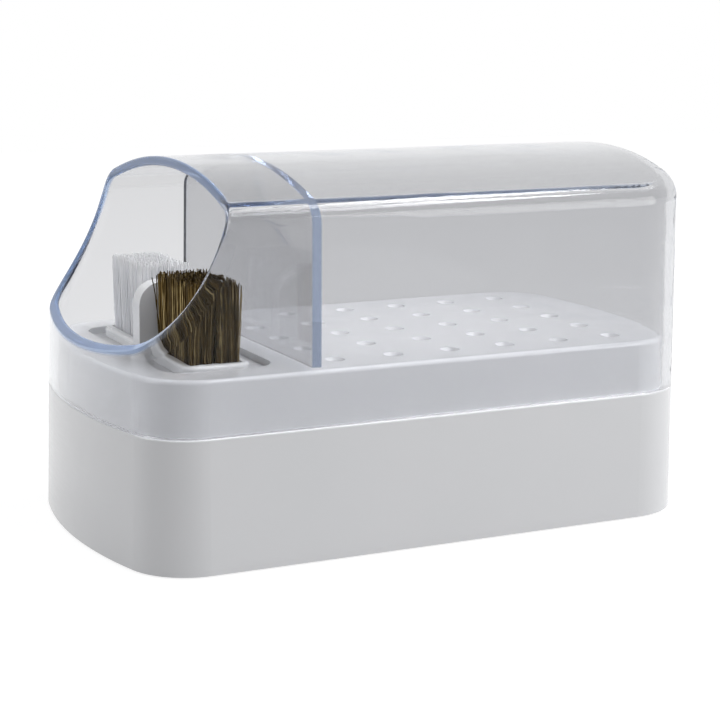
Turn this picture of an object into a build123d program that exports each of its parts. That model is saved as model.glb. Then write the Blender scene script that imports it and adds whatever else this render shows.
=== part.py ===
import os
from math import acos, asin, cos, pi, sin, sqrt

from build123d import *

# Nail drill bit case, millimetres. X runs along the case with the brush end at -X, Z is up,
# and the origin is on the table under the middle of the case.

# Case body
length = 140.0
width = 77.0
height = 81.4
front_bow = 6.8
rear_bow = 5.0
front_corner = 13.7
front_corner_growth = 0.15
rear_corner = 16.4
wall_draft = 0.02
housing_wall = 2.0
seam_height = 28.6
seam_round = 0.4
deck_height = 40.3
deck_edge_round = 1.0

# Clear cover
cover_wall = 2.1
cover_clearance = 0.4
seat_gap = 0.05
crown_drop = 7.4
cover_edge_round = 5.4
opening_radius = 53.0
opening_reach = 23.2
lip_height = 42.6
lip_round = 0.6
roll_off_width = 4.8
roll_off_depth = 1.45
roll_off_rise = 0.05
roll_off_overlap = 0.3
roll_off_front_gap = 3.5
roll_off_fade = 0.6
roll_off_steepness = 2.5
roll_off_sections = 11
roll_off_steps = 7
divider_thickness = 2.1
divider_from_front = 41.2
divider_gap = 0.8

# Bit holes
bit_shank = 2.35
bit_clearance = 0.05
bit_hole_depth = 26.0
bit_countersink = 4.4
bit_columns = 6
bit_rows = 5
bit_pitch_x = 14.0
bit_pitch_y = 13.0
bit_field_margin = 8.8
bit_tube_wall = 1.3
bit_tube_floor = 1.5

# Brush bay in the deck
bay_depth = 1.5
bay_front_gap = 4.3
bay_finger_gap = 5.2
bay_side_gap = 1.4
bay_corner = 5.5
partition_thickness = 4.0
partition_overhang = 1.1
partition_height = 16.2
partition_round = 5.0

# Brushes, one each side of the partition
brush_from_front = 23.8
partition_gap = 0.5
tuft_length = 11.4
tuft_width = 19.6
tuft_height = 16.3
flange_margin = 1.8
flange_thickness = 2.2
flange_corner = 3.0
flange_edge_round = 0.8
plug_step = 1.1
plug_depth = 6.0
plug_corner = 1.0
plug_clearance = 0.25
plug_floor_gap = 0.5
socket_wall = 1.6
tuft_pad = 1.2
tuft_clearance = 0.05
strand_columns = 11
strand_rows = 19
copper_strand = 0.5
nylon_strand = 0.42
strand_spread = 0.3
strand_wave = 0.5
anchor_columns = 4
anchor_rows = 7
anchor_width = 1.8
anchor_wire = 0.4
anchor_depth = 2.6

# Bottom plate and its screws
plate_thickness = 2.0
plate_clearance = 0.3
screw_diameter = 2.4
screw_length = 9.0
screw_head = 4.6
screw_clearance = 0.05
screw_slot = 0.7
screw_slot_depth = 0.8
boss_diameter = 6.4
boss_from_front = 10.5
boss_from_rear = 11.5
boss_spacing = 42.0

# Places worked out from the sizes above
half_length = length / 2
half_width = width / 2
front_arc = (half_width**2 + front_bow**2) / (2 * front_bow)
rear_arc = (half_width**2 + rear_bow**2) / (2 * rear_bow)
crown_arc = (half_width**2 + crown_drop**2) / (2 * crown_drop)
deck_inset = cover_wall + cover_clearance
cover_bottom = seam_height + seat_gap
divider_x = divider_from_front - half_length
divider_bottom = deck_height + divider_gap
brush_x = brush_from_front - half_length
flange_length = tuft_length + 2 * flange_margin
flange_width = tuft_width + 2 * flange_margin
plug_length = flange_length - 2 * plug_step
plug_width = flange_width - 2 * plug_step
brush_y = (partition_thickness + flange_width) / 2 + partition_gap
bay_floor = deck_height - bay_depth
bay_length = bay_front_gap + flange_length + bay_finger_gap
bay_width = 2 * brush_y + flange_width + 2 * bay_side_gap
bay_x = brush_x + (bay_finger_gap - bay_front_gap) / 2
partition_length = flange_length + 2 * partition_overhang
flange_bottom = bay_floor + seat_gap
flange_top = flange_bottom + flange_thickness
pad_bottom = flange_top - tuft_pad
plug_bottom = flange_bottom - plug_depth
socket_length = plug_length + 2 * plug_clearance
socket_width = plug_width + 2 * plug_clearance
socket_floor = plug_bottom - plug_floor_gap
bit_hole = bit_shank + 2 * bit_clearance
bit_field_x = divider_x + bit_field_margin + (bit_columns - 1) * bit_pitch_x / 2
tube_diameter = bit_hole + 2 * bit_tube_wall
tube_bottom = deck_height - bit_hole_depth - bit_tube_floor
boss_places = [
    (x, y)
    for x in (boss_from_front - half_length, half_length - boss_from_rear)
    for y in (-boss_spacing / 2, boss_spacing / 2)
]

os.makedirs("parts", exist_ok=True)


def case_outline(level, inset):
    """Sketch the plan of the case at a level, drawn in by an inset and by the walls' draft.

    Above the seam the front corners grow rounder with height.
    """
    drawn_in = inset + level * wall_draft
    corner = front_corner + max(level - seam_height, 0) * front_corner_growth
    side = half_width - drawn_in
    front_radius = front_arc - drawn_in
    rear_radius = rear_arc - drawn_in
    front_x = front_arc - half_length - sqrt(front_radius**2 - side**2)
    rear_x = half_length - rear_arc + sqrt(rear_radius**2 - side**2)
    with BuildSketch(Plane.XY.offset(level)) as outline:
        with BuildLine():
            ThreePointArc((front_x, side), (drawn_in - half_length, 0), (front_x, -side))
            Line((front_x, -side), (rear_x, -side))
            ThreePointArc((rear_x, -side), (half_length - drawn_in, 0), (rear_x, side))
            Line((rear_x, side), (front_x, side))
        make_face()
        fillet(outline.vertices().group_by(Axis.X)[0], corner - drawn_in)
        fillet(outline.vertices().group_by(Axis.X)[-1], rear_corner - drawn_in)
    return outline.sketch


def wall_ends(low, high, inset):
    """Outlines at both ends of an upright wall that follows the case's plan and draft."""
    return [case_outline(low, inset), case_outline(high, inset)]


def make_hood(bottom, inset):
    """Domed block with the cover's outer form, drawn in by an inset on the walls and the top."""
    with BuildPart() as hood:
        loft(wall_ends(bottom, height, inset), ruled=True)
        with BuildSketch(Plane.YZ) as section:
            with Locations((0, height - crown_arc)):
                Circle(crown_arc - inset)
        extrude(amount=length, both=True, mode=Mode.INTERSECT)
        top_face = hood.faces().filter_by(GeomType.CYLINDER).sort_by(Axis.Z)[-1]
        fillet(top_face.edges(), cover_edge_round - inset)
    return hood.part


def make_bristles(strand, centre_y):
    """Upright strands on a pad, all straight, each leaning a little away from the middle."""
    strands = []
    reach_x = (tuft_length - strand) / 2
    reach_y = (tuft_width - strand) / 2
    for column in range(strand_columns):
        for row in range(strand_rows):
            across = 2 * column / (strand_columns - 1) - 1
            along = 2 * row / (strand_rows - 1) - 1
            lean_x = strand_spread * across + strand_wave * sin(along * 5 + across) / 4
            lean_y = strand_spread * along + strand_wave * cos(across * 4 + along) / 4
            tall = tuft_height + strand_wave * sin(column * 2.4 + row * 1.7)
            foot = Plane((brush_x + across * reach_x, centre_y + along * reach_y, flange_top))
            lean = Vector(lean_x, lean_y, tall)
            strands.append(Solid.extrude(Face.make_rect(strand, strand, foot), lean))
    with BuildPart() as bristles:
        with BuildSketch(Plane.XY.offset(pad_bottom)):
            with Locations((brush_x, centre_y)):
                Rectangle(tuft_length, tuft_width)
        extrude(amount=tuft_pad)
        add(strands)
    return bristles


def make_brush_block(centre_y):
    """Flanged block that drops into a socket of the bay, with a well for the bristle pad."""
    with BuildPart() as block:
        with BuildSketch(Plane.XY.offset(flange_bottom)):
            with Locations((brush_x, centre_y)):
                RectangleRounded(flange_length, flange_width, flange_corner)
        extrude(amount=flange_thickness)
        fillet(block.faces().sort_by(Axis.Z)[-1].edges(), flange_edge_round)
        with BuildSketch(Plane.XY.offset(flange_bottom)):
            with Locations((brush_x, centre_y)):
                RectangleRounded(plug_length, plug_width, plug_corner)
        extrude(amount=-plug_depth)
        with BuildSketch(Plane.XY.offset(flange_top)):
            with Locations((brush_x, centre_y)):
                Rectangle(tuft_length + 2 * tuft_clearance, tuft_width + 2 * tuft_clearance)
        extrude(amount=-tuft_pad, mode=Mode.SUBTRACT)
        with BuildSketch(Plane.XY.offset(pad_bottom)):
            with Locations((brush_x, centre_y)):
                with GridLocations(
                    tuft_length / anchor_columns, tuft_width / anchor_rows, anchor_columns, anchor_rows
                ):
                    Rectangle(anchor_width, anchor_wire)
        extrude(amount=-anchor_depth, mode=Mode.SUBTRACT)
    return block


def make_anchors(centre_y):
    """Flat staples driven into the block under the tufts."""
    with BuildPart() as anchors:
        with BuildSketch(Plane.XY.offset(pad_bottom)):
            with Locations((brush_x, centre_y)):
                with GridLocations(
                    tuft_length / anchor_columns, tuft_width / anchor_rows, anchor_columns, anchor_rows
                ):
                    Rectangle(anchor_width, anchor_wire)
        extrude(amount=-anchor_depth)
    return anchors


# Housing: lower box, ledge for the cover, and the raised deck
with BuildPart() as housing:
    loft(wall_ends(0, seam_height, 0), ruled=True)
    fillet(housing.faces().sort_by(Axis.Z)[-1].edges(), seam_round)
    loft(wall_ends(seam_height - housing_wall, deck_height, deck_inset), ruled=True)
    fillet(housing.faces().sort_by(Axis.Z)[-1].edges(), deck_edge_round)

    # Hollow, open at the bottom
    loft(wall_ends(0, seam_height - housing_wall, housing_wall), ruled=True, mode=Mode.SUBTRACT)
    upper_inset = deck_inset + housing_wall
    upper_hollow = wall_ends(seam_height - housing_wall, deck_height - housing_wall, upper_inset)
    loft(upper_hollow, ruled=True, mode=Mode.SUBTRACT)

    # Brush bay: a shallow recess with a floor of its own and two sockets
    with BuildSketch(Plane.XY.offset(bay_floor - housing_wall)):
        with Locations((bay_x, 0)):
            RectangleRounded(
                bay_length + 2 * housing_wall, bay_width + 2 * housing_wall, bay_corner + housing_wall
            )
    extrude(amount=bay_depth)
    with BuildSketch(Plane.XY.offset(socket_floor - socket_wall)):
        with Locations((brush_x, -brush_y), (brush_x, brush_y)):
            Rectangle(socket_length + 2 * socket_wall, socket_width + 2 * socket_wall)
    extrude(amount=bay_floor - housing_wall / 2 - socket_floor + socket_wall)
    with BuildSketch(Plane.XY.offset(bay_floor)):
        with Locations((bay_x, 0)):
            RectangleRounded(bay_length, bay_width, bay_corner)
    extrude(amount=bay_depth, mode=Mode.SUBTRACT)
    with BuildSketch(Plane.XY.offset(socket_floor)):
        with Locations((brush_x, -brush_y), (brush_x, brush_y)):
            RectangleRounded(socket_length, socket_width, plug_corner)
    extrude(amount=bay_floor - socket_floor, mode=Mode.SUBTRACT)

    # Partition that keeps the two brushes apart
    with BuildSketch(Plane.XZ.offset(-partition_thickness / 2)) as partition:
        with Locations((brush_x, bay_floor + partition_height / 2)):
            Rectangle(partition_length, partition_height)
        fillet(partition.vertices().group_by(Axis.Y)[-1], partition_round)
    extrude(amount=partition_thickness)

    # Bit holes in socket tubes
    with BuildSketch(Plane.XY.offset(tube_bottom)):
        with Locations((bit_field_x, 0)):
            with GridLocations(bit_pitch_x, bit_pitch_y, bit_columns, bit_rows):
                Circle(tube_diameter / 2)
    extrude(amount=deck_height - housing_wall / 2 - tube_bottom)
    with Locations((bit_field_x, 0, deck_height)):
        with GridLocations(bit_pitch_x, bit_pitch_y, bit_columns, bit_rows):
            CounterSinkHole(bit_hole / 2, bit_countersink / 2, bit_hole_depth)

    # Screw bosses
    with BuildSketch(Plane.XY.offset(plate_thickness)):
        with Locations(*boss_places):
            Circle(boss_diameter / 2)
    extrude(amount=deck_height - housing_wall / 2 - plate_thickness)
    with BuildSketch(Plane.XY.offset(plate_thickness)):
        with Locations(*boss_places):
            Circle(screw_diameter / 2 + screw_clearance)
    extrude(amount=screw_length, mode=Mode.SUBTRACT)

housing.part.label = "housing"
export_step(housing.part, "parts/housing.step")

# Bottom plate, flush with the foot of the walls
with BuildPart() as bottom_plate:
    loft(wall_ends(0, plate_thickness, housing_wall + plate_clearance), ruled=True)
    with Locations(Plane.XY.rotated((180, 0, 0))):
        with Locations(*[(x, -y, 0) for x, y in boss_places]):
            CounterSinkHole(screw_diameter / 2 + screw_clearance, screw_head / 2 + screw_clearance)

bottom_plate.part.label = "bottom_plate"
export_step(bottom_plate.part, "parts/bottom_plate.step")

# Four countersunk screws, heads down
with BuildPart() as plate_screws:
    with BuildSketch(Plane.XY):
        with Locations(*boss_places):
            Circle(screw_diameter / 2)
    extrude(amount=screw_length)
    for x, y in boss_places:
        with Locations((x, y, 0)):
            Cone(
                screw_head / 2,
                screw_diameter / 2,
                (screw_head - screw_diameter) / 2,
                align=(Align.CENTER, Align.CENTER, Align.MIN),
            )
            Box(
                screw_slot, screw_head * 0.6, screw_slot_depth,
                align=(Align.CENTER, Align.CENTER, Align.MIN), mode=Mode.SUBTRACT,
            )
            Box(
                screw_head * 0.6, screw_slot, screw_slot_depth,
                align=(Align.CENTER, Align.CENTER, Align.MIN), mode=Mode.SUBTRACT,
            )

plate_screws.part.label = "plate_screws"
export_step(plate_screws.part, "parts/plate_screws.step")

# Clear cover: a thin hood with the front scooped away and a divider left standing in it
hood = make_hood(cover_bottom, 0)
hollow = make_hood(cover_bottom, cover_wall)
opening_x = opening_reach - half_length - opening_radius
opening_z = lip_height + sqrt(opening_radius**2 - (opening_x + half_length) ** 2)
roll_off_top = height - crown_drop - cover_edge_round / 2
roll_off_start = asin((opening_z - roll_off_top) / opening_radius)
roll_off_stop = acos((roll_off_front_gap - half_length - opening_x) / opening_radius)

# The mouth's outer edge is rolled off widely on both side walls and round the front corners,
# deepest halfway and fading out at both ends. Each section follows the wall outwards.
with BuildPart() as roll_off:
    for section in range(roll_off_sections):
        part_way = section / (roll_off_sections - 1)
        down = roll_off_start + (roll_off_stop - roll_off_start) * part_way
        depth = roll_off_depth * sin(pi * part_way) ** roll_off_fade
        dip = []
        for step in range(roll_off_steps):
            outwards = step / (roll_off_steps - 1)
            radius = opening_radius - roll_off_overlap + roll_off_width * outwards
            foot = (opening_x + radius * cos(down), 0, opening_z - radius * sin(down))
            side = hood.find_intersection_points(Axis(foot, (0, 1, 0)))[-1][0].Y
            cut = depth * (1 - outwards) ** roll_off_steepness
            dip.append(Vector(radius, side + roll_off_rise - cut))
        beyond = half_width + roll_off_width
        with BuildSketch(
            Plane((opening_x, 0, opening_z), (cos(down), 0, -sin(down)), (sin(down), 0, cos(down)))
        ):
            with BuildLine():
                Spline(dip)
                Polyline(dip[-1], (dip[-1].X, beyond), (dip[0].X, beyond), dip[0])
            make_face()
    loft()
    mirror(about=Plane.XZ)

with BuildPart() as clear_cover:
    add(hollow)
    with BuildSketch(Plane.XY.offset(divider_bottom)):
        with Locations((divider_x, 0)):
            Rectangle(divider_thickness, width)
    extrude(amount=height, mode=Mode.SUBTRACT)
    chambers = clear_cover.part
    add(hood, mode=Mode.REPLACE)
    add(chambers, mode=Mode.SUBTRACT)
    with BuildSketch(Plane.XZ):
        with Locations((opening_x, opening_z)):
            Circle(opening_radius)
    extrude(amount=width, both=True, mode=Mode.SUBTRACT)
    round_faces = clear_cover.faces().filter_by(GeomType.CYLINDER)
    rim = round_faces.filter_by(lambda face: face.axis_of_rotation.is_parallel(Axis.Y))
    fillet(rim.edges(), lip_round)
    add(roll_off.part, mode=Mode.SUBTRACT)

clear_cover.part.label = "clear_cover"
export_step(clear_cover.part, "parts/clear_cover.step")

# Brushes
for name, strand, centre_y in (
    ("copper", copper_strand, -brush_y),
    ("nylon", nylon_strand, brush_y),
):
    block = make_brush_block(centre_y)
    block.part.label = name + "_brush_block"
    export_step(block.part, "parts/" + name + "_brush_block.step")
    bristles = make_bristles(strand, centre_y)
    bristles.part.label = name + "_bristles"
    export_step(bristles.part, "parts/" + name + "_bristles.step")
    anchors = make_anchors(centre_y)
    anchors.part.label = name + "_anchors"
    export_step(anchors.part, "parts/" + name + "_anchors.step")
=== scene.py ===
# %% [markdown]
# # A nail drill bit case
# The object is a small moulded case: a white housing with a deck full of bit holes, two
# drop-in cleaning brushes at its front end, and a clear one-piece cover with a scooped mouth.
# The construction model is loaded first and stays as it is. It already has the right shapes,
# so most pieces only need the finish of their real material. The bristles are the exception:
# the construction model keeps them coarse, so they are planted again here, wire by wire.

# %% Load the construction model
from math import asin, cos, degrees, pi, radians, sin
from random import Random

import bpy
import numpy as np
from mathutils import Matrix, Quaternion, Vector


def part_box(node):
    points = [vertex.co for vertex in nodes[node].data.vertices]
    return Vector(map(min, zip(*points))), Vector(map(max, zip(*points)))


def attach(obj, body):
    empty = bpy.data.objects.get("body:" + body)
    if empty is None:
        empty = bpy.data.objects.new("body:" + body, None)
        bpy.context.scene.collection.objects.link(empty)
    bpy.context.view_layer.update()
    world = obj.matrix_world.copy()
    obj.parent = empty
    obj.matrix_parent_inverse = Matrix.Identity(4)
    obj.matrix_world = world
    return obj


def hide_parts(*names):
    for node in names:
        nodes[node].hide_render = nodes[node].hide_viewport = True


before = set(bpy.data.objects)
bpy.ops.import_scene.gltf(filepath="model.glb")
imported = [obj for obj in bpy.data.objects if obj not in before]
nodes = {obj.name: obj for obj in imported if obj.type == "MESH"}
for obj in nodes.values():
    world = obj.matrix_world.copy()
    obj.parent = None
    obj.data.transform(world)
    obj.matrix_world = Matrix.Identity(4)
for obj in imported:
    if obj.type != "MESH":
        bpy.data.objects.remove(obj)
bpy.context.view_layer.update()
bpy.ops.object.select_all(action="DESELECT")
print("nodes", sorted(nodes))

# %% [markdown]
# ## Sizes that the pieces share
# Blender works in metres here and the drawings of such a case are in millimetres, so one
# value turns one into the other. The scooped mouth of the cover is cut by a cylinder, so an
# axis and a radius describe it. The tufts fill a box over each brush block.

# %% Shared sizes
MM = 0.001
opening_axis = Vector((-99.8, 0, 86.43)) * MM
opening_radius = 53 * MM
brush_x = -46.2 * MM
brush_y = 14.1 * MM
tuft_length = 11.4 * MM
tuft_width = 19.6 * MM
tuft_height = 16.3 * MM
polystyrene_ior = 1.52
flange_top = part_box("copper_brush_block")[1].z
print("flange top in mm", round(flange_top / MM, 2))

# %% [markdown]
# ## Colours and nodes
# Paint cards and photographs give colours as sRGB hex values, and shaders work in linear
# light, so one function turns the first into the second. Another adds a shader node with its
# settings and its links in one call, which keeps each material readable.

# %% Helpers for colours and nodes
def linear(colour):
    """Linear RGBA of an sRGB hex colour."""
    parts = [int(colour[i : i + 2], 16) / 255 for i in (1, 3, 5)]
    return [p / 12.92 if p <= 0.04045 else ((p + 0.055) / 1.055) ** 2.4 for p in parts] + [1]


def node(tree, kind, sockets=None, **settings):
    """Add a node, set its properties, and fill or link its input sockets."""
    made = tree.nodes.new(kind)
    for name, value in settings.items():
        setattr(made, name, value)
    for name, value in (sockets or {}).items():
        if isinstance(value, bpy.types.NodeSocket):
            tree.links.new(value, made.inputs[name])
        else:
            made.inputs[name].default_value = value
    return made


def new_material(name):
    """Empty material, its node tree and its output node."""
    material = bpy.data.materials.new(name)
    material.use_nodes = True
    tree = material.node_tree
    tree.nodes.clear()
    return material, tree, node(tree, "ShaderNodeOutputMaterial")


def dress(name, material):
    """Give a node of the construction model a better material."""
    nodes[name].material_slots[0].material = material


print("mid grey is", [round(v, 3) for v in linear("#808080")])

# %% [markdown]
# A few small steps come back in every material: a cloudy pattern of a known size, a value
# stretched to a new range, two values put together, and a blend of two colours. Some of
# these nodes have several sockets of one name, so their sockets are given by number here.

# %% Helpers for patterns
def cloud(tree, place, width, detail, roughness=0.5):
    """Cloudy pattern from 0 to 1, with features this many millimetres wide."""
    return node(tree, "ShaderNodeTexNoise", {
        "Vector": place, "Scale": 1 / (width * MM), "Detail": detail, "Roughness": roughness,
    }).outputs["Fac"]


def remap(tree, value, low, high, start=0.0, end=1.0, curve="LINEAR"):
    """Value stretched so that low gives start and high gives end, and held beyond them."""
    return node(tree, "ShaderNodeMapRange", {0: value, 1: low, 2: high, 3: start, 4: end},
                interpolation_type=curve).outputs[0]


def combine(tree, operation, first, second):
    """Two values put together by one arithmetic operation."""
    return node(tree, "ShaderNodeMath", {0: first, 1: second}, operation=operation).outputs[0]


def blend(tree, factor, first, second):
    """Colour that goes from the first to the second as the factor goes from 0 to 1."""
    return node(tree, "ShaderNodeMix", {0: factor, 6: first, 7: second},
                data_type="RGBA").outputs[2]


print("a pattern 2 mm wide has a scale of", round(1 / (2 * MM)))

# %% [markdown]
# ## The camera
# The picture was taken from the brush end, a little above the deck, with a long lens. A
# camera can be placed by eye, but here its direction was worked out from the case's straight
# edges, so its place follows from two angles, a distance and the point it looks at.

# %% Camera
view_azimuth = radians(-26.92)
view_elevation = radians(11.81)
view_roll = radians(0.84)
view_distance = 443.2 * MM
view_target = Vector((0, 0, 33.34)) * MM
lens_length = 96.2
sideways_shift = -0.0022

back = Vector((
    sin(view_azimuth) * cos(view_elevation),
    -cos(view_azimuth) * cos(view_elevation),
    sin(view_elevation),
))
camera_data = bpy.data.cameras.new("camera")
camera_data.lens = lens_length
camera_data.shift_x = sideways_shift
camera_data.clip_start = 10 * MM
camera = bpy.data.objects.new("camera", camera_data)
bpy.context.scene.collection.objects.link(camera)
camera.location = view_target + back * view_distance
camera.rotation_mode = "QUATERNION"
camera.rotation_quaternion = (-back).to_track_quat("-Z", "Y") @ Quaternion((0, 0, 1), view_roll)
bpy.context.scene.camera = camera
bpy.context.scene.view_settings.view_transform = "Standard"
print("camera at", [round(v, 3) for v in camera.location])

# %% [markdown]
# ## Light inside a clear wall
# Light that enters a clear wall at its edge bounces between the two faces many times before
# it comes out. A renderer gives up after a few bounces and shows black there, so it is
# allowed many more. This is what lets the edges of the cover shine blue.

# %% Bounces
many_bounces = 64
cycles = bpy.context.scene.cycles
cycles.max_bounces = many_bounces
cycles.diffuse_bounces = 12
cycles.glossy_bounces = many_bounces
cycles.transmission_bounces = many_bounces
print("bounces allowed", cycles.max_bounces)

# %% [markdown]
# ## Floor and surroundings
# A product picture on white has no horizon. The surroundings are white for the eye, for
# mirror images and for what shows through clear plastic, and a softer grey for lighting, so
# that the lamps still shape the case. The floor is a matt white sheet that takes the shadow.
# Some of its white is its own, as it is in a light tent, so the shadow stays faint.

# %% Floor
def seen_ray(tree):
    """1 for a ray from the eye, off a mirror or through glass, 0 for a ray that lights."""
    path = node(tree, "ShaderNodeLightPath").outputs
    direct = combine(tree, "MAXIMUM", path["Is Camera Ray"], path["Is Glossy Ray"])
    return combine(tree, "MAXIMUM", direct, path["Is Transmission Ray"])


floor_size = 1.6
floor_gap = 0.4 * MM
bpy.ops.mesh.primitive_plane_add(size=floor_size, location=(0, 0, -floor_gap))
floor = bpy.context.object
floor.name = "floor"

paper, tree, output = new_material("white_paper_floor")
matt = node(tree, "ShaderNodeBsdfDiffuse", {"Color": linear("#959595")})
glow = node(tree, "ShaderNodeEmission", {"Color": linear("#FFFFFF"), "Strength": 0.84})
dark = node(tree, "ShaderNodeEmission", {"Strength": 0.0})
lift = node(tree, "ShaderNodeMixShader", {
    0: seen_ray(tree), 1: dark.outputs[0], 2: glow.outputs[0]})
both = node(tree, "ShaderNodeAddShader", {0: matt.outputs[0], 1: lift.outputs[0]})
tree.links.new(both.outputs[0], output.inputs["Surface"])
floor.data.materials.append(paper)
print("floor is", floor_size, "m wide")

# %% [markdown]
# The surroundings are the world's background. The white one is at full strength, and the
# one that lights the case is much weaker, so that the lamps still give it shape.

# %% Surroundings
world = bpy.data.worlds.new("white_tent")
bpy.context.scene.world = world
world.use_nodes = True
tree = world.node_tree
tree.nodes.clear()
seen_white = node(tree, "ShaderNodeBackground", {"Color": linear("#FFFFFF"), "Strength": 1.0})
tent_light = node(tree, "ShaderNodeBackground", {"Color": linear("#F7F8FA"), "Strength": 0.34})
mixed = node(tree, "ShaderNodeMixShader", {
    0: seen_ray(tree), 1: tent_light.outputs[0], 2: seen_white.outputs[0]})
node(tree, "ShaderNodeOutputWorld", {"Surface": mixed.outputs[0]})
print("surroundings are", world.name)

# %% [markdown]
# ## Lamps
# Three soft boxes do the work. A long narrow one overhead lights the deck and draws the thin
# bright line along the rounded top edge. One at the left and one at the front right light the
# two walls that face the camera, and the rounded corner between them stays a little darker.
# Each lamp is given by its place and its size in metres and its power in watts.

# %% Soft boxes
def soft_box(name, place, size, power, aim=(0, 0, 0.04)):
    """Square area lamp at a place in metres, turned towards the case."""
    lamp = bpy.data.lights.new(name, "AREA")
    lamp.shape = "RECTANGLE"
    lamp.size, lamp.size_y = size
    lamp.energy = power
    box = bpy.data.objects.new(name, lamp)
    bpy.context.scene.collection.objects.link(box)
    box.location = place
    box.rotation_mode = "QUATERNION"
    box.rotation_quaternion = (Vector(aim) - Vector(place)).to_track_quat("-Z", "Y")
    return box


soft_box("overhead_box", (0.38, -0.17, 0.87), (0.7, 0.13), 5.5)
soft_box("left_box", (-0.96, 0.18, 0.45), (0.6, 0.6), 4.3)
soft_box("front_right_box", (0.66, -0.78, 0.4), (0.5, 0.5), 6.0)

# %% [markdown]
# ## White ABS
# The housing, its bottom plate and the brush blocks are moulded from white ABS in a polished
# mould. Such a surface is glossy but not perfect: it has a faint orange peel from the mould,
# broad areas where the plastic sank a little, and hairline marks from handling.

# %% Moulded white ABS
def moulded_abs(name, light, shade, gloss):
    """Glossy moulded ABS: two close whites, orange peel, sink marks and hairlines."""
    material, tree, output = new_material(name)
    place = node(tree, "ShaderNodeTexCoord").outputs["Object"]
    sink = cloud(tree, place, 22, 2.0)
    drawn = node(tree, "ShaderNodeMapping", {"Vector": place, "Scale": (1.0, 1.0, 22.0)})
    hairs = cloud(tree, drawn.outputs[0], 9, 6.0, roughness=0.7)
    worn = remap(tree, hairs, 0.35, 0.75, gloss - 0.04, gloss + 0.08)
    peel = cloud(tree, place, 1.1, 1.0)
    relief = node(tree, "ShaderNodeBump", {
        "Height": peel, "Strength": 0.05, "Distance": 0.1 * MM})
    plastic = node(tree, "ShaderNodeBsdfPrincipled", {
        "Base Color": blend(tree, sink, linear(light), linear(shade)),
        "Roughness": worn, "IOR": 1.54, "Normal": relief.outputs[0],
    })
    tree.links.new(plastic.outputs[0], output.inputs["Surface"])
    return material


block_abs = moulded_abs("brush_block_abs", "#DDDDDE", "#D8D9DA", 0.24)
dress("housing", moulded_abs("white_abs", "#D8D8DA", "#D4D5D7", 0.2))
dress("bottom_plate", moulded_abs("plate_abs", "#D4D5D7", "#CFD0D3", 0.38))
dress("copper_brush_block", block_abs)
dress("nylon_brush_block", block_abs)
print("ABS pieces", [n for n, o in nodes.items() if "abs" in o.material_slots[0].material.name])

# %% [markdown]
# ## The rim of the mouth
# The cover is clear polystyrene, and the cut edge of its scooped mouth gathers light from the
# whole wall, which makes the edge blue. That blue light is painted on the rim as colour, a
# painted glow, and the wall lets less light through there. The rim is found by its distance
# from the mouth's axis, and the painted glow fades out towards the long wall on the -y side,
# whose rim stays clear.

# %% Rim with a painted blue glow
def painted_rim_glow(tree, place):
    """1 where blue light is painted on the mouth's cut edge, and 0 on the clear wall."""
    side_view = node(tree, "ShaderNodeMapping", {
        "Vector": place, "Location": (-opening_axis.x, 0, -opening_axis.z), "Scale": (1, 0, 1)})
    reach = node(tree, "ShaderNodeVectorMath", {0: side_view.outputs[0]}, operation="LENGTH")
    edge = remap(tree, reach.outputs["Value"], opening_radius + 0.3 * MM,
                 opening_radius + 1.1 * MM, 1.0, 0.0, "SMOOTHSTEP")
    across = node(tree, "ShaderNodeSeparateXYZ", {0: place}).outputs["Y"]
    behind = remap(tree, across, -36.5 * MM, -28 * MM, curve="SMOOTHSTEP")
    return combine(tree, "MULTIPLY", edge, behind)


print("rim radius in mm", round(opening_radius / MM, 2))

# %% [markdown]
# ## The shine of the wall
# Seen from outside, a plain clear wall would mirror so much of the white surroundings that
# what stands behind it looks washed out, so that mirror is toned down. Light that meets the
# wall from inside at a flat angle can't leave it. It must be mirrored in full, or the edges
# would be black.

# %% Mirror inside and outside
def wall_mirror(tree, sheen):
    """Tint of mirrored light: the sheen, and white for light that is trapped in the wall."""
    inside = node(tree, "ShaderNodeNewGeometry").outputs["Backfacing"]
    flatness = node(tree, "ShaderNodeLayerWeight", {"Blend": 0.5}).outputs["Facing"]
    trapped = combine(tree, "MULTIPLY", inside, remap(tree, flatness, 0.2, 0.245))
    return blend(tree, trapped, linear(sheen), linear("#FFFFFF"))


critical_angle = asin(1 / polystyrene_ior)
print("light is trapped beyond", round(degrees(critical_angle), 1), "degrees")

# %% [markdown]
# ## Clear polystyrene
# Light bends in the cover, so it is a closed wall with a real refractive index, a faint
# ripple from the mould's flow and a fine haze from wiping. A lamp's light should still reach
# the deck below, and plain glass shaders block it, so rays that look for a lamp meet a plain
# see-through shader instead. The wall also takes a little red out of light on a long way.

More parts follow.
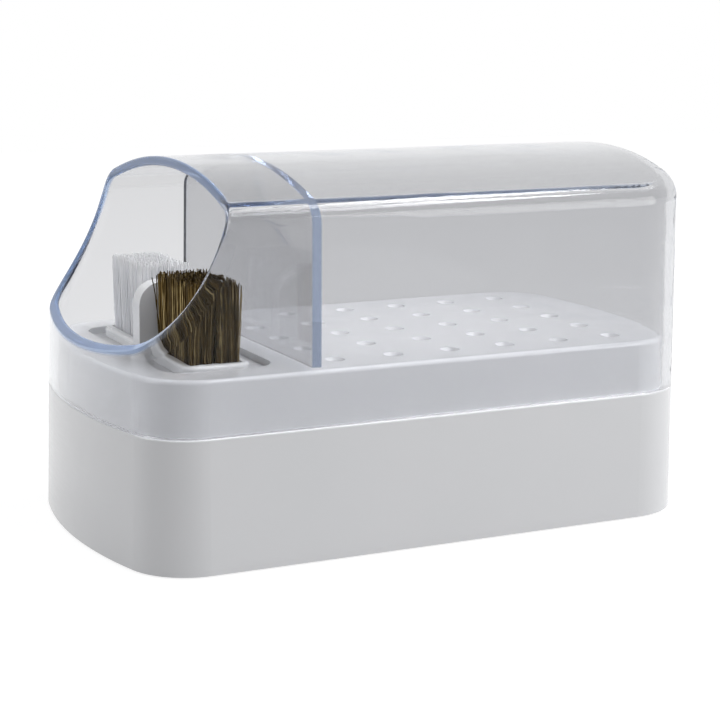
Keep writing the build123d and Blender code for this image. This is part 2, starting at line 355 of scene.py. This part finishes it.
# %% Clear cover material
def clear_styrene(name, tint, edge, passing, blue, sheen):
    """Clear polystyrene, faintly grey, with a painted blue glow on the rim and blue edges."""
    material, tree, output = new_material(name)
    place = node(tree, "ShaderNodeTexCoord").outputs["Object"]
    ripple = node(tree, "ShaderNodeBump", {
        "Height": cloud(tree, place, 18, 1.0), "Strength": 0.06, "Distance": 1.0 * MM})
    rubbed = remap(tree, cloud(tree, place, 0.8, 3.0), 0.45, 0.8, 0.015, 0.06)
    # The rim mask paints the blue glow of light inside the wall as colour on the rim.
    rim = painted_rim_glow(tree, place)
    wall = node(tree, "ShaderNodeBsdfPrincipled", {
        "Base Color": blend(tree, rim, linear(tint), linear(edge)),
        "Roughness": rubbed, "IOR": polystyrene_ior,
        "Transmission Weight": remap(tree, rim, 0.0, 1.0, 1.0, 0.5),
        "Specular Tint": wall_mirror(tree, sheen), "Normal": ripple.outputs[0],
    })
    film = node(tree, "ShaderNodeBsdfTransparent", {"Color": linear(passing)})
    path = node(tree, "ShaderNodeLightPath")
    surface = node(tree, "ShaderNodeMixShader", {
        0: path.outputs["Is Shadow Ray"], 1: wall.outputs[0], 2: film.outputs[0]})
    depth = node(tree, "ShaderNodeVolumeAbsorption", {"Color": linear(blue), "Density": 28.0})
    tree.links.new(surface.outputs[0], output.inputs["Surface"])
    tree.links.new(depth.outputs[0], output.inputs["Volume"])
    return material


# edge is the painted blue glow of the rim.
dress("clear_cover", clear_styrene(
    "clear_polystyrene", tint="#D9D9DA", edge="#9FB7DE", passing="#EEEEEE", blue="#C3CEDF",
    sheen="#767676"))
print("cover is", nodes["clear_cover"].material_slots[0].material.name)

# %% [markdown]
# ## Zinc plated steel
# The plate's screws and the staples under the bristles are steel with a thin bright zinc
# plating, slightly bluish, with fine marks from the driver and from punching.

# %% Zinc plated steel
def zinc_plated(name):
    """Bright zinc on steel, slightly blue, with fine cloudy marks."""
    material, tree, output = new_material(name)
    place = node(tree, "ShaderNodeTexCoord").outputs["Object"]
    marks = cloud(tree, place, 0.6, 4.0)
    metal = node(tree, "ShaderNodeBsdfPrincipled", {
        "Base Color": blend(tree, marks, linear("#C3C7CE"), linear("#A9AEB8")),
        "Metallic": 1.0, "Roughness": remap(tree, marks, 0.0, 1.0, 0.25, 0.45),
    })
    tree.links.new(metal.outputs[0], output.inputs["Surface"])
    return material


zinc = zinc_plated("zinc_plated_steel")
for name in ("plate_screws", "copper_anchors", "nylon_anchors"):
    dress(name, zinc)
print("zinc plated", [n for n, o in nodes.items() if o.material_slots[0].material == zinc])

# %% [markdown]
# ## One crimped wire
# A brush like this holds hundreds of thin wires with a slight crimp. One wire is drawn up: a
# small five-sided foot is pulled up step by step, each step a little to the side. A few of
# these wires with different crimps are enough, because each copy is turned and bent.

# %% Draw the wires
dice = Random(31)
foot_sides = 5
wire_steps = 8


def draw_wire(name, thickness, crimp):
    """Extrude one upright wire, one unit tall, that wanders a little on its way up."""
    bpy.ops.object.select_all(action="DESELECT")
    bpy.ops.mesh.primitive_circle_add(
        vertices=foot_sides, radius=thickness / 2, fill_type="NGON")
    wire = bpy.context.object
    wire.name = name
    bpy.ops.object.mode_set(mode="EDIT")
    bpy.ops.mesh.select_all(action="SELECT")
    x = y = 0.0
    for step in range(wire_steps):
        new_x = dice.uniform(-crimp, crimp)
        new_y = dice.uniform(-crimp, crimp)
        bpy.ops.mesh.extrude_region_move(
            TRANSFORM_OT_translate={"value": (new_x - x, new_y - y, 1 / wire_steps)})
        x, y = new_x, new_y
    bpy.ops.mesh.select_all(action="SELECT")
    bpy.ops.mesh.normals_make_consistent(inside=False)
    bpy.ops.object.mode_set(mode="OBJECT")
    return wire


copper_wires = [draw_wire("copper_wire_%d" % i, 0.23 * MM, 0.06 * MM) for i in range(5)]
nylon_wires = [draw_wire("nylon_wire_%d" % i, 0.24 * MM, 0.03 * MM) for i in range(3)]
print("faces in one wire", len(copper_wires[0].data.polygons))

# %% [markdown]
# ## Where the wires stand
# Wires are punched into the block in small tufts, so their feet stand together and their
# tips spread into an even field. A brush is planned first: each wire gets a place in the
# field, from 0 to 1 both ways, a height and a lean in x and in y.

# %% Plan a brush
tuft_columns = 4
tuft_rows = 7
field_jitter = 0.35


def plan_brush(columns, rows, spread, ragged, strays=()):
    """Place, height and lean of each wire, with any stray wires at the end."""
    jobs = []
    for column in range(columns):
        for row in range(rows):
            u = (column + 0.5 + dice.uniform(-field_jitter, field_jitter)) / columns
            v = (row + 0.5 + dice.uniform(-field_jitter, field_jitter)) / rows
            tall = tuft_height + dice.uniform(-ragged, ragged)
            lean_x = dice.uniform(-1, 1) * spread
            lean_y = dice.uniform(-1, 1) * spread
            jobs.append((u, v, tall, lean_x, lean_y))
    return jobs + list(strays)


def tuft_centre(share, tufts):
    """Middle of the tuft that a place in the field belongs to, from 0 to 1."""
    return (min(int(share * tufts), tufts - 1) + 0.5) / tufts


print("tufts in a brush", tuft_columns * tuft_rows)

# %% [markdown]
# ## Planting the brushes
# Each copy of a wire is turned, stood at its place and bent. At the foot it is drawn towards
# the middle of its tuft, and the tuft opens over the lower part of its height. Every wire has
# a shade of its own and knows its height. Both are stored on it as attributes, and the
# wire's material reads them.

# %% Plant the tufts
foot_gather = 0.74
opening_rate = 1.6
planting_depth = 0.6 * MM


def plant(wires, name, centre_y, jobs):
    """Copy wires over a brush's field, gathered into tufts at the foot, as one piece."""
    grown = []
    for u, v, tall, lean_x, lean_y in jobs:
        source = dice.choice(wires)
        mesh = source.data.copy()
        count = len(mesh.vertices)
        points = np.empty(count * 3)
        mesh.vertices.foreach_get("co", points)
        points = points.reshape(count, 3)
        turn = dice.uniform(0, 2 * pi)
        c, s = cos(turn), sin(turn)
        up = points[:, 2].copy()
        rise = np.clip(up * opening_rate, 0, 1)
        gather = foot_gather + (1 - foot_gather) * rise * rise * (3 - 2 * rise)
        tuft_u = tuft_centre(u, tuft_columns)
        tuft_v = tuft_centre(v, tuft_rows)
        place_u = (tuft_u + (u - tuft_u) * gather - 0.5) * tuft_length
        place_v = (tuft_v + (v - tuft_v) * gather - 0.5) * tuft_width
        x = points[:, 0] * c - points[:, 1] * s
        y = points[:, 0] * s + points[:, 1] * c
        points[:, 0] = brush_x + place_u + x + lean_x * up * up
        points[:, 1] = centre_y + place_v + y + lean_y * up * up
        points[:, 2] = flange_top - planting_depth + up * (tall + planting_depth)
        mesh.vertices.foreach_set("co", points.ravel())
        shade = mesh.attributes.new("shade", "FLOAT", "POINT")
        shade.data.foreach_set("value", np.full(count, dice.random()))
        height = mesh.attributes.new("height", "FLOAT", "POINT")
        height.data.foreach_set("value", up)
        copy = bpy.data.objects.new(name, mesh)
        bpy.context.scene.collection.objects.link(copy)
        grown.append(copy)
    bpy.ops.object.select_all(action="DESELECT")
    for copy in grown:
        copy.select_set(True)
    bpy.context.view_layer.objects.active = grown[0]
    bpy.ops.object.join()
    brush = bpy.context.object
    brush.name = name
    bpy.ops.object.shade_smooth_by_angle(angle=radians(60))
    return brush


stray_wire = (0.02, 0.93, 15.6 * MM, -1.4 * MM, 0.3 * MM)
copper_plan = plan_brush(24, 40, spread=0.3 * MM, ragged=0.6 * MM, strays=[stray_wire])
copper_brush = plant(copper_wires, "copper_wire_tufts", -brush_y, copper_plan)
nylon_plan = plan_brush(20, 34, spread=0.25 * MM, ragged=0.3 * MM)
nylon_brush = plant(nylon_wires, "nylon_filament_tufts", brush_y, nylon_plan)
print("wires", len(copper_plan), "and", len(nylon_plan))

# %% [markdown]
# The first wires have done their work and are removed. Each finished brush rides on the body
# of its block, so it moves with it, and takes the place of the coarse bristles of the
# construction model.

# %% Put the brushes in their place
for wire in copper_wires + nylon_wires:
    bpy.data.objects.remove(wire)
for brush, body, old in ((copper_brush, "copper_brush", "copper_bristles"),
                         (nylon_brush, "nylon_brush", "nylon_bristles")):
    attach(brush, body)
    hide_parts(old)
print("copper brush faces", len(copper_brush.data.polygons))

# %% [markdown]
# ## Copper alloy wire
# The wires are a brown copper alloy that has dulled with use. A bare wire is warm and
# bright, its cut tip and its oldest neighbours are nearly black-brown, so the colour goes
# from wire to wire with the stored shade and darkens towards the tip.

# %% Copper alloy wire
def dulled_wire(name):
    """Brown copper alloy, each wire with a shade of its own and a darker tip."""
    material, tree, output = new_material(name)
    place = node(tree, "ShaderNodeTexCoord").outputs["Object"]
    shade = node(tree, "ShaderNodeAttribute", attribute_name="shade").outputs["Fac"]
    height = node(tree, "ShaderNodeAttribute", attribute_name="height").outputs["Fac"]
    tones = node(tree, "ShaderNodeValToRGB", {0: shade})
    ramp = tones.color_ramp
    ramp.elements[0].color = linear("#3C2F17")
    ramp.elements[1].color = linear("#BDA97A")
    middle = ramp.elements.new(0.6)
    middle.color = linear("#6B5935")
    dull = remap(tree, cloud(tree, place, 1.6, 3.0), 0.4, 0.7, 0.0, 0.5)
    spotted = blend(tree, dull, tones.outputs[0], linear("#46361A"))
    tip = remap(tree, height, 0.86, 1.0, 0.0, 0.5)
    metal = node(tree, "ShaderNodeBsdfPrincipled", {
        "Base Color": blend(tree, tip, spotted, linear("#3A2A12")),
        "Metallic": 1.0, "Roughness": 0.42,
    })
    tree.links.new(metal.outputs[0], output.inputs["Surface"])
    return material


copper_brush.data.materials.clear()
copper_brush.data.materials.append(dulled_wire("dulled_copper_wire"))
print("copper brush has", copper_brush.data.materials[0].name)

# %% [markdown]
# ## Nylon filament
# Nylon filaments are milky and let a little light through. Side by side they read as a pale
# grey block with a brighter, snowy top where the cut ends catch the light. The ends are toned
# a little greyer, so that this top doesn't turn plain white.

# %% Nylon filament
def milky_nylon(name):
    """Slightly translucent white filament with softer cut ends."""
    material, tree, output = new_material(name)
    shade = node(tree, "ShaderNodeAttribute", attribute_name="shade").outputs["Fac"]
    height = node(tree, "ShaderNodeAttribute", attribute_name="height").outputs["Fac"]
    tone = blend(tree, shade, linear("#E9EAED"), linear("#FCFCFD"))
    tip = remap(tree, height, 0.86, 0.98)
    nylon = node(tree, "ShaderNodeBsdfPrincipled", {
        "Base Color": blend(tree, tip, tone, linear("#E2E2E3")), "Roughness": 0.4,
        "IOR": 1.53, "Transmission Weight": 0.05,
    })
    tree.links.new(nylon.outputs[0], output.inputs["Surface"])
    return material


nylon_brush.data.materials.clear()
nylon_brush.data.materials.append(milky_nylon("milky_nylon"))
print("nylon brush has", nylon_brush.data.materials[0].name)
